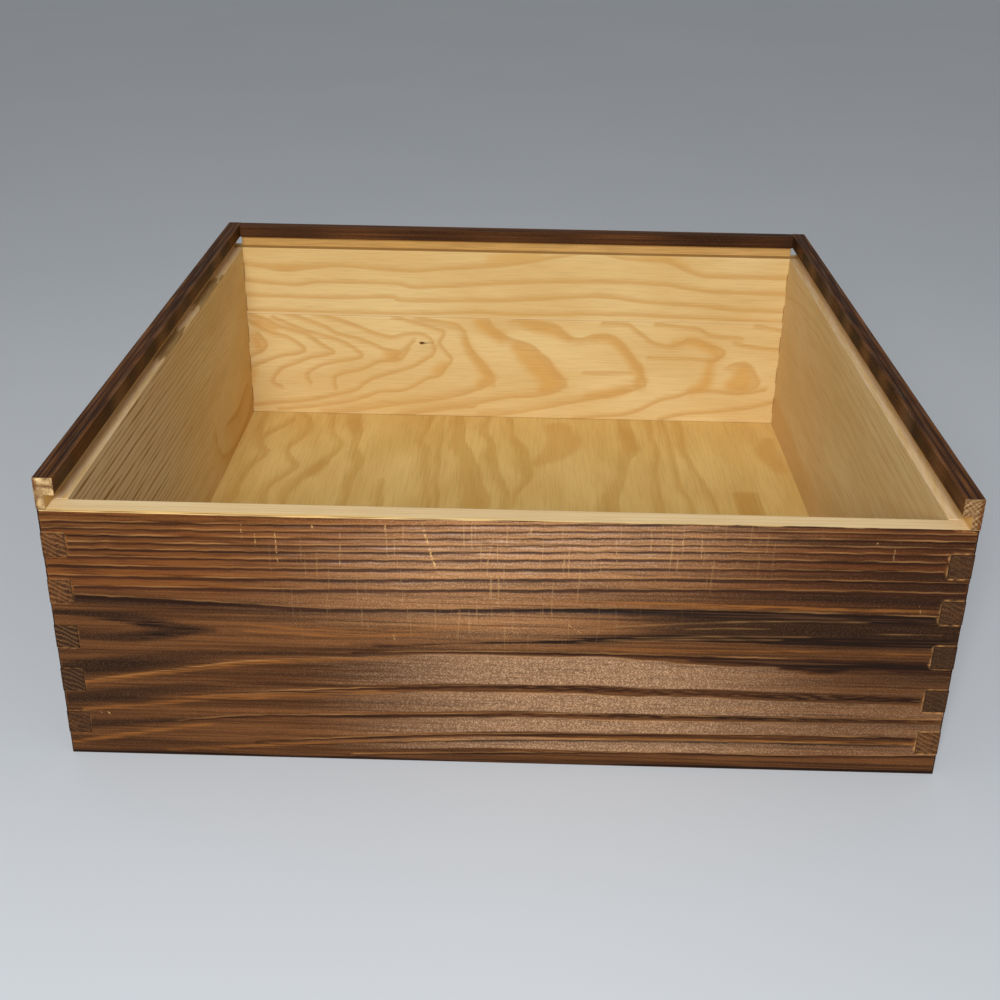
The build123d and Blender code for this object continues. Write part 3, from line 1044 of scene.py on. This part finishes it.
def inner_left(y, z):
    """Lines and stains of the left side's inner face: close straight grain that fades towards the back, and a
    painted sheen that grows towards the front.
    """
    rng = np.random.default_rng(8)
    swayed = z + 0.015 * y + 0.7 * np.sin(y / 70) + 0.9 * np.sin(z / 4.1)
    close = repeated(swayed + 0.3 * uneven(rng, y, z, 120, 5), 3.1) - 0.4
    fade = 0.8 * rise(y, -10, 130) + 0.3 * rise(z, 80, 20) + 0.35 * uneven(rng, y, z, 200, 12) - 0.15
    stain = 0.9 * np.exp(-((y + 45) / 50) ** 2 - ((z - 104) / 4.5) ** 2)
    oval = distance_to_lines(left_oval, y, z, 0.2)
    warm = np.maximum(stain, 0.4 * rise(oval, 2.5, -0.5) + 0.4 * rise(y, 20, 150) * rise(z, 70, 10))
    strokes = rise(y, 70, -90) * rise(z, 15, 55) * rise(close + 0.3 * uneven(rng, y, z, 90, 7), 0.1, -0.35)
    return {
        "line": np.minimum(close + fade, oval + 0.2), "warm": np.clip(warm + 0.9 * strokes, 0, 1),
        # Pale towards the front is a painted sheen.
        "pale": 0.7 * rise(y, 80, -110) * (1 - strokes), "char": 0.5 - 0.5 * strokes,
    }


def inner_right(y, z):
    """Lines of the right side's inner face: smooth wood, faint lines, an amber strip low at the back."""
    strip = rise(z, 23.5, 21) * rise(y, -20, 60)
    rng = np.random.default_rng(9)
    close = repeated(z - 0.025 * y + 0.8 * np.sin(y / 60) + 0.3 * uneven(rng, y, z, 140, 6), 2.4) - 0.3
    close += 0.3 + 0.35 * uneven(rng, y, z, 160, 14) + 0.4 * rise(y, 60, 140)
    faint = np.minimum(distance_to_lines(right_lines, y, z, 0.3) + 0.3, close)
    return {"line": faint, "warm": 0.45 * strip, "pale": 0.15 + 0.1 * rise(y, 60, 130)}


print("sides:", len(left_oval), "lines drawn on the left and", len(right_lines), "on the right")

# %% [markdown]
# Each side is one board with its grain running from front to back. It has a lip over the groove for the
# lid. Outside, on the lip and on the finger ends it is burnt; the groove, the ledge that the lid slid on
# and the inner face are bare. The ledge is chalky from rubbing, and the burn has run onto it here and
# there. The lip's front end is bare and mottled, as if the burnt skin had broken off.

# %% Sides
SIDE_STEP_UP = 0.5
SIDE_STEP_ALONG = 3.0
GROOVE_HEIGHT = 6
GROOVE_SKIN = 3.5
BURNT_THROUGH = 0.95
RAGGED_SEED = 5
groove_top = front_top + GROOVE_HEIGHT
groove_inner = half_width - GROOVE_SKIN


def side_board(node, sign, seed, inner_paint):
    """Dresses one side of the box; sign is -1 for the left and 1 for the right."""
    low, high = in_mm(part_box(node))
    mesh, at, facing, paint = start_board(node, (
        (2, cut_places(low[2], high[2], SIDE_STEP_UP)),
        (0, cut_places(low[0], high[0], STEP_ACROSS)),
        (1, cut_places(low[1], high[1], SIDE_STEP_ALONG, END_INSETS)),
    ))
    x, y, z = at.T.copy()
    out = x * sign
    outward = facing[:, 0] * sign
    rng = np.random.default_rng(seed)

    inner = (out < inner_x + 0.7) & (z < front_top - 0.3)
    lay(paint, inner, inner_paint(y[inner], z[inner]))
    ledge = (z > front_top - 0.6) & (z < front_top + 0.3) & (out < groove_inner + 0.1)
    rubbed = 0.55 + 0.4 * uneven(rng, y[ledge], out[ledge], 70, 7)
    ragged = np.random.default_rng(RAGGED_SEED)
    rubbed += 0.25 * uneven(ragged, y[ledge], out[ledge], 16, 4)
    shifted = y[ledge] + 7 * uneven(ragged, y[ledge], out[ledge], 30, 5)
    stained = np.zeros(ledge.sum())
    for middle, reach in ledge_stains[sign]:
        stained = np.maximum(stained, rise(np.abs(shifted - middle), reach * 1.15, reach * 0.85))
    chalky = np.clip(rubbed, 0, 1) * (1 - stained)
    lay(paint, ledge, {"pale": chalky, "warm": 0.3, "char": 0.75 - 0.7 * stained})
    groove = (z > front_top + 0.3) & (z < groove_top + 0.1) & (out < groove_inner + 0.1)
    lay(paint, groove, {"warm": 0.8})

    lip = (z > groove_top + 0.05) & (y > -half_depth + 0.4)
    lip_burnt = np.interp(y[lip], (-170, -40, 120), lip_burn[sign])
    lip_burnt += 0.5 * uneven(rng, y[lip], out[lip], 120, 9)
    lip_burnt += lip_edge_burn[sign] * rise(-outward[lip], 0.3, 0.8)
    lay(paint, lip, {
        "line": distance_to_lines(lip_stripes, y[lip], out[lip], 0.5),
        "burn": np.maximum(lip_burnt, BURNT_THROUGH),
        "pale": 0.25 * np.clip(uneven(rng, y[lip], out[lip], 60, 6), 0, 1),
        "warm": np.clip(0.25 + 0.5 * uneven(ragged, y[lip], out[lip], 50, 7), 0, 1),
    })
    outer = (outward > 0.1) & (out > half_width - SKIN)
    depth, values = brushed_face(y[outer], z[outer], straight_drawing(seed, 0, box_height), rng)
    lay(paint, outer, values | {"burn": 1.0})
    at[outer, 0] -= sign * flat_out(facing[outer], 0, sign) * depth

    for end in (-1, 1):
        tip = (y * end > half_depth - SKIN) & (facing[:, 1] * end > 0.1)
        dress_finger_ends(at, paint, facing, tip & (z < front_top + 0.2), end, x, z, sign)
        dress_lip_end(at, paint, facing, tip & (z > front_top + 0.2), end, x, z, sign, rng)
    burn_underside(paint, z)
    finish_piece(mesh, node + "_finished", at, paint, along_y, node)


def dress_lip_end(at, paint, facing, tip, end, x, z, sign, rng):
    """End grain of a side's lip: mottled bare wood in front, with a dark band on the left; burnt behind."""
    rings = end_grain(x[tip], z[tip], 0.3, 2.9, 0.35)
    tone = 0.06 - 0.1 * rise(z[tip], 118.5, 116.5) if sign < 0 else -0.16
    tone = tone - 0.22 * rise(x[tip] * sign, half_width - 2.0, half_width - 0.5)
    tone += 0.2 * uneven(rng, x[tip], z[tip], *lip_end_waves[sign])
    if sign < 0:
        tone = np.minimum(tone, -0.3 + 0.36 * np.abs(z[tip] - 121.6 + 0.1 * (x[tip] + 171)))
    burn = 0.0 if end < 0 else 1.5
    lay(paint, tip, {"line": rings, "char": tone, "warm": 0.2, "pale": 0.3, "burn": burn})
    at[tip, 1] -= end * flat_out(facing[tip], 1, end) * (0.1 + 0.15 * rise(rings, 0.4, -0.2))


def dress_finger_ends(at, paint, facing, tip, end, x, z, sign):
    """Burnt end grain of a side's fingers: slanting rings, on each finger as dark as in the photograph."""
    rings = end_grain(x[tip], z[tip], 0.5, 2.15, 0.4)
    looks = [finger_looks[sign].get(section, (1.5, 0.3)) for section in np.floor(z[tip] / finger)]
    burn, light = np.array(looks).T
    lay(paint, tip, {
        "line": rings + (0.3 if sign < 0 else 0.6), "char": FAR, "burn": burn, "warm": 0.0,
        "rim": light * rise(rings, 0.3, 0.6), "pale": 0.05,
    })
    at[tip, 1] -= end * flat_out(facing[tip], 1, end) * (0.2 + 0.14 * rise(rings, 0.5, -0.3))


side_board("left_side", -1, 11, inner_left)
side_board("right_side", 1, 23, inner_right)

# %% [markdown]
# The back is two boards glued edge to edge. Inside, the upper one shows four soft, wavy rings. The lower
# one was sawn near the tree's bark: its rings are arches that point right, each crisp on the outside and
# soft within, with a small knot, a broad amber tongue and a swirl. They were traced as (along, up).

# %% Rings of the back boards
upper_rings = [
    [(40, 112.5, 0.4), (25, 110, 0.6), (10, 107, 0.8), (-5, 104.5, 0.9), (-20, 103, 0.9),
     (-40, 101.5, 0.8), (-63, 99.3, 0.7), (-90, 100.6, 0.7), (-108, 101.8, 0.8), (-125, 100.2, 1.1),
     (-140, 98.8, 1.3), (-152, 100, 1.1), (-165, 101.5, 0.8), (-175, 102, 0.8)],
    [(175, 99.5, 0.8), (165, 99.5, 0.8), (120, 99.8, 0.9), (112, 100.8, 0.9), (105, 103, 0.8),
     (97, 106.5, 0.8), (90, 109, 0.9), (70, 109.5, 0.6), (55, 112, 0.4)],
    [(175, 89.5, 0.7), (125, 90, 0.8), (105, 92, 0.7), (90, 94, 0.7), (55, 95, 0.8), (15, 94, 0.8),
     (-15, 92, 0.7), (-60, 89, 0.7), (-75, 91, 0.5), (-120, 91, 0.6), (-135, 89, 0.8), (-165, 91, 0.6),
     (-175, 91.5, 0.6)],
    [(175, 78, 0.5), (140, 78.5, 0.7), (110, 81, 0.6), (80, 82.5, 0.6), (60, 85, 0.7), (40, 85, 0.7),
     (0, 82, 0.6), (-65, 80, 0.6), (-78, 82, 0.6), (-120, 81, 0.6), (-175, 81.5, 0.5)],
    [(175, 71, 0.4), (120, 72.5, 0.4), (60, 74, 0.5), (0, 72.5, 0.4), (-25, 73.5, 0.5), (-70, 71.5, 0.4),
     (-175, 72, 0.4)],
]
arches = [
    even(0.5, (-160, 57), (-155, 50), (-158, 45), (-166, 41)),
    even(0.55, (-172, 68), (-166, 66), (-155, 59), (-142, 55), (-135, 51), (-131, 46.5), (-136, 43.5),
         (-145, 42), (-155, 38.5), (-172, 31)),
    even(0.55, (-166, 70), (-155, 66.5), (-145, 61.5), (-130, 57), (-121, 51), (-113, 45.5), (-118, 43),
         (-128, 41), (-135, 38), (-145, 34), (-150, 29), (-152, 24), (-147, 21.5)),
    even(0.55, (-150, 68), (-139, 63), (-127, 58.5), (-115, 55.5), (-103, 50.5), (-95, 43.5), (-101, 40.5),
         (-112, 38.5), (-122, 35.5), (-130, 30), (-128, 24)),
    even(0.55, (-142, 71), (-120, 63.5), (-110, 58), (-98, 55), (-88, 51.5), (-80, 48), (-70, 46.5),
         (-66, 49), (-70, 42), (-76, 40.5), (-85, 39), (-95, 34), (-110, 30), (-113, 26), (-112, 21)),
    even(0.6, (-125, 70.5), (-110, 67.5), (-100, 64), (-90, 60), (-80, 57), (-75, 56.5)),
    even(0.4, (-75, 56.5), (-68, 58.5), (-60, 59.2), (-54, 57.5), (-51, 54.5), (-49, 49), (-50, 45)),
    even(0.6, (-50, 45), (-56, 41), (-63, 36.5), (-75, 32.5), (-88, 28), (-95, 23.5), (-100, 19.5),
         (-115, 15.5), (-130, 12), (-150, 9.5), (-172, 7)),
    even(0.5, (-62, 54), (-66, 50), (-70, 46), (-78, 41)),
    even(0.5, (-75, 70), (-60, 66), (-50, 63), (-44, 61), (-43.5, 58), (-46, 53), (-43, 48.5), (-38.5, 42),
         (-42, 37), (-46, 31), (-55, 28), (-62, 23.5), (-70, 20), (-85, 18.5), (-95, 14.5), (-105, 11.5),
         (-125, 8), (-150, 5)),
    even(0.6, (-24, 9.8), (-38, 8.5), (-60, 5), (-75, 2)),
    even(0.6, (55, 68.5), (70, 68), (76, 64.5), (82, 60), (88, 56), (97, 54.5), (104, 56), (108, 58.5),
         (114, 59), (122, 55.5), (130, 52.5), (132, 50), (129, 46.5), (125, 44)),
    even(0.6, (160, 26), (150, 23.5), (140, 22.8), (128, 24), (115, 24), (105, 20), (95, 17.5), (88, 14),
         (80, 9.5), (70, 6.5), (55, 5), (40, 3)),
    even(0.6, (88, 68.5), (105, 67), (115, 66), (121, 62.5), (130, 61.5), (142, 60.5)),
    even(0.5, (138, 57.5), (150, 55), (175, 53)),
    even(0.6, (175, 18), (165, 17), (150, 13), (140, 11.5), (125, 9.5), (110, 8), (95, 4)),
    even(0.5, (150, 69), (175, 65)), even(0.3, (85, 46.5), (105, 46.8), (125, 45.8)),
    even(0.3, (45, 35.5), (75, 35.8)),
]
broad_arches = [
    even(0.6, (-60, 69.5), (-45, 67), (-36, 65.5), (-31, 61), (-28, 52), (-23, 45), (-16, 37), (-12, 29),
         (-13, 27), (-19, 23.5), (-27, 20), (-38, 16.5), (-55, 13), (-70, 11), (-100, 5.5), (-120, 3.5)),
    even(0.6, (-16, 69.5), (-13, 64), (-4, 57.5), (5, 54.5), (12, 52), (17, 47), (22, 43.5), (26, 37),
         (31, 31), (33.5, 27.5), (31, 24), (26, 21), (15, 18.5), (5, 17.5), (-5, 16.5), (-20, 13),
         (-38, 10), (-55, 6.5), (-70, 3.5)),
    even(0.6, (0, 69), (10, 68.5), (25, 66.5), (31, 62), (36, 58.5), (42, 57.5), (50, 60), (58, 60.5),
         (64, 58.5), (70, 53), (76, 45), (81, 39), (81.5, 35), (84, 29), (82, 26.5), (76, 24), (70, 21.5),
         (60, 19), (45, 16), (30, 12.5), (15, 9), (0, 6), (-20, 3)),
    even(0.5, (136, 42), (141, 43.5), (148, 42.5), (153, 36), (155, 30), (152, 26), (146, 23.5)),
]
amber_wood = [
    [(-30, 55, 0.6), (-26, 46, 1.2), (-20, 38, 2), (-16, 30, 2.8), (-20, 26, 2)],
    [(-21, 67, 2.5), (-15, 62, 2.5), (-8, 57, 2.5)],
    [(2, 51, 2.5), (9, 45, 5), (17, 38, 6), (25, 29, 5.5), (20, 23, 2.5)],
    [(6, 67, 0.8), (14, 65, 2.6), (24, 62.5, 2.6), (34, 58, 1)],
    [(50, 58.5, 0.6), (60, 58, 1.2), (68, 52, 1.6), (75, 43, 1.6), (80, 34, 2), (79, 28, 2)],
    [(48, 19, 1), (60, 21, 2.2), (72, 24, 1.8)],
    [(100, 56, 0.6), (112, 57, 1.8), (124, 52.5, 2.2), (128, 48, 1.6)],
    [(124, 44, 1.4), (123, 35, 2.2), (121, 28, 3), (114, 24, 1.6)],
    [(138, 28, 3), (144, 31, 6), (145, 38, 4)], [(-162, 54, 1), (-160, 48, 2)],
    [(-79, 44, 1.5), (-74, 43.5, 2.5)], [(-48, 34, 1.5), (-44, 38, 1.5)], [(-160, 64, 2), (-150, 60, 1)],
    [(-164, 32, 1), (-168, 24, 2)],
]
upper_amber = [
    [(-15, 107, 1.5), (0, 109.5, 2.5), (14, 111, 1)],
    [(78, 111.5, 1.5), (92, 110.5, 1.5), (104, 106, 0.5)], [(-145, 100.5, 1.5), (-132, 101, 1.5)],
]
knot = [
    [(-58.6, 52.6, 0.5), (-57.5, 52.5, 0.9), (-55, 52.5, 0.35), (-50, 52.6, 0.1)],
]
print("back:", len(upper_rings), "upper and", len(arches) + len(broad_arches), "lower rings")

# %% [markdown]
# Both boards of the back are dressed by one function, which is given the inner face's marks. Inside, the
# hard rings stand a hair proud of the planed wood. The groove is warm, with a painted shade under the lip
# that is darkest on its ledge, and the lip is burnt.

# %% Back boards
BACK_STEP_UP = 0.8
UPPER_STEP_ALONG = 2.5
LOWER_STEP_ALONG = 1.3
INSIDE_RELIEF = 0.07


def back_board(node, step_along, seed, inner_paint):
    """Dresses one of the two boards of the back, burnt outside and bare inside."""
    low, high = in_mm(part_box(node))
    mesh, at, facing, paint = start_board(node, (
        (2, cut_places(low[2], high[2], BACK_STEP_UP)),
        (1, cut_places(low[1], high[1], STEP_ACROSS)),
        (0, cut_places(low[0], high[0], step_along, END_INSETS)),
    ))
    x, y, z = at.T.copy()
    rng = np.random.default_rng(seed)

    inner = (y < inner_y + 0.7) & (z < front_top - 0.2)
    lay(paint, inner, inner_paint(x[inner], z[inner]))
    sunk = INSIDE_RELIEF * rise(paint["line"][inner], -0.6, 0.8)
    at[inner, 1] += flat_out(facing[inner], 1, -1) * sunk * rise(inner_x - np.abs(x[inner]), 0.5, 6)
    groove = (z > front_top - 0.2) & (z < groove_top + 0.1) & (y < half_depth - GROOVE_SKIN + 0.1)
    # Painted shade in the groove under the lip: darker brown, lighter on its back wall.
    lay(paint, groove, {"warm": 0.8, "char": np.where(facing[groove, 1] < -0.5, 0.28, 0.15)})
    lip = z > groove_top + 0.05
    lip_burnt = np.interp(x[lip], (-160, -60, 20, 80, 130), (1.4, 1.2, 0.95, 1.1, 1.9))
    lip_burnt += 0.4 * uneven(rng, x[lip], y[lip], 120, 9) + 0.5 * rise(-facing[lip, 1], 0.3, 0.8)
    lay(paint, lip, {"burn": np.maximum(lip_burnt, BURNT_THROUGH)})

    outer = (y > half_depth - SKIN) & (facing[:, 1] > 0.1)
    depth, values = brushed_face(x[outer], z[outer], straight_drawing(seed, low[2], high[2]), rng)
    lay(paint, outer, values | {"burn": 1.0})
    at[outer, 1] -= flat_out(facing[outer], 1, 1) * depth
    dress_board_ends(at, facing, paint, (x, y, z), -0.4)
    burn_underside(paint, z)
    finish_piece(mesh, node + "_finished", at, paint, along_x, node)


def inner_upper(x, z):
    """The wavy rings of the upper board, and the light line of glue along its lower edge."""
    return {
        "line": distance_to_lines(upper_rings, x, z, 0.25) - 0.15,
        "pale": 0.5 * rise(z, glue_line + 1.2, glue_line + 0.4),
        "warm": 0.6 * rise(distance_to_lines(upper_amber, x, z), 4, -2),
    }


def inner_lower(x, z):
    """The arches, amber wood and knot of the lower board."""
    line = np.minimum(distance_to_lines(arches, x, z, 0.3), distance_to_lines(broad_arches, x, z, 0.14))
    warm = 0.85 * rise(distance_to_lines(amber_wood, x, z), 4.5, -2.5)
    return {"line": line - 0.2, "char": distance_to_lines(knot, x, z), "warm": warm}


back_board("back_upper_board", UPPER_STEP_ALONG, 31, inner_upper)
back_board("back_lower_board", LOWER_STEP_ALONG, 47, inner_lower)

# %% [markdown]
# The bottom is a sheet of softwood plywood. Its face veneer was peeled off the log, so its rings are wide,
# wandering streaks that run from back to front, with one patch let in. The part near the front doesn't show
# in the photograph; there the streaks are simply carried on.

# %% Bottom panel
PANEL_STEP_ACROSS = 1.5
PANEL_STEP_ALONG = 4.0
PATCH_MIDDLE = (134.5, 20)
PATCH_HALF = (7.5, 48)

panel_streaks = [
    even(1, (-158, 165), (-156, 135), (-155, 120), (-148, 105), (-152, 90), (-154, 70), (-156, 45),
         (-152, -20), (-158, -90), (-155, -168)),
    even(1.2, (-140, 155), (-145, 142), (-153, 128), (-152, 118), (-147, 108)),
    even(1.4, (-134, 165), (-127, 150), (-128, 135), (-130, 125), (-135, 112), (-131, 100), (-128, 88),
         (-132, 75), (-137, 62), (-138, 45), (-134, 0), (-138, -80), (-133, -168)),
    [(-113, 165, 1), (-112, 145, 1), (-108, 130, 1), (-105, 118, 1.5), (-108, 100, 2), (-112, 90, 3.5),
     (-116, 82, 3.5), (-122, 70, 2), (-125, 55, 1.5), (-126, 45, 1.5), (-122, -10, 1), (-126, -90, 2),
     (-120, -168, 1.5)],
    [(-100, 165, 3), (-98, 148, 3), (-95, 130, 2), (-94, 115, 1.5), (-92, 100, 3), (-90, 90, 2.5),
     (-91, 75, 1.5), (-93, 45, 1.5), (-90, -20, 2), (-94, -100, 3), (-90, -168, 2)],
    even(0.8, (-51, 165), (-53, 140), (-55, 128), (-52, 115), (-50, 95), (-48, 70), (-46, 45), (-50, -30),
         (-48, -168)),
    even(0.5, (-43, 165), (-43, 100), (-41, 45), (-44, -40), (-42, -168)),
    [(-33, 165, 2.5), (-33, 140, 3.5), (-32, 125, 4.5), (-28, 110, 4.5), (-24, 95, 5), (-22, 75, 5.5),
     (-18, 45, 6), (-20, -40, 5), (-24, -168, 4)],
    [(-15, 165, 1.5), (-16, 140, 1.5), (-11, 122, 2), (-12, 110, 2.5), (-8, 85, 2), (-4, 65, 1.5),
     (-1, 45, 1.5), (0, -60, 2), (-4, -168, 1)],
    [(-2, 165, 1), (0, 145, 1), (4, 130, 1.6), (8, 115, 2.6), (8, 95, 3.4), (10, 80, 2.6), (5, 60, 1.2),
     (3, 45, 1)],
    [(72, 165, 4.5), (72, 140, 5), (72, 120, 4.5), (68, 105, 2.6), (64, 85, 2.6), (60, 65, 3.5),
     (56, 45, 6), (54, -30, 7), (60, -168, 5)],
    even(1, (87, 165), (88, 120), (86, 80), (85, 45), (88, -50), (84, -168)),
    even(0.8, (95, 165), (98, 130), (97, 100), (99, 70), (102, 45), (98, -60), (100, -168)),
    even(1, (106, 165), (106, 130), (108, 100), (112, 75), (116, 45), (112, -40), (115, -168)),
    [(-73, 72, 0.6), (-73, 45, 1.8), (-71, -40, 2), (-74, -168, 1)],
]
panel_amber = [
    [(30, 150, 9), (32, 130, 11), (26, 112, 8), (16, 100, 4)],
    [(160, 140, 4), (156, 120, 7), (160, 98, 5)], [(-110, 92, 4), (-116, 80, 4)],
    [(-98, 155, 5), (-96, 140, 3)], [(72, 150, 4), (73, 122, 4)],
]
panel_low, panel_high = in_mm(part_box("bottom_panel"))
panel_mesh, at, facing, paint = start_board("bottom_panel", (
    (0, cut_places(panel_low[0], panel_high[0], PANEL_STEP_ACROSS)),
    (1, cut_places(panel_low[1], panel_high[1], PANEL_STEP_ALONG)),
))
x, y, z = at.T.copy()
rng = np.random.default_rng(5)
wander = x + 1.2 * uneven(rng, x, y, 40, 60)
streak_edge = distance_to_lines(panel_streaks, wander, y, 0.3) * 0.45 - 0.1
patch_x, patch_y = (np.abs(p - m) - half for p, m, half in zip((x, y), PATCH_MIDDLE, PATCH_HALF))
streak_edge = np.minimum(streak_edge, np.maximum(patch_x, patch_y))
amber_share = 0.7 * rise(distance_to_lines(panel_amber, wander, y), 3, -3)
lay(paint, slice(None), {"line": streak_edge, "warm": amber_share})
upper = facing[:, 2] > 0.9
at[upper, 2] -= INSIDE_RELIEF * rise(streak_edge[upper], -0.6, 1.5)
finish_piece(panel_mesh, "bottom_panel_finished", at, paint, plywood, "bottom_panel")
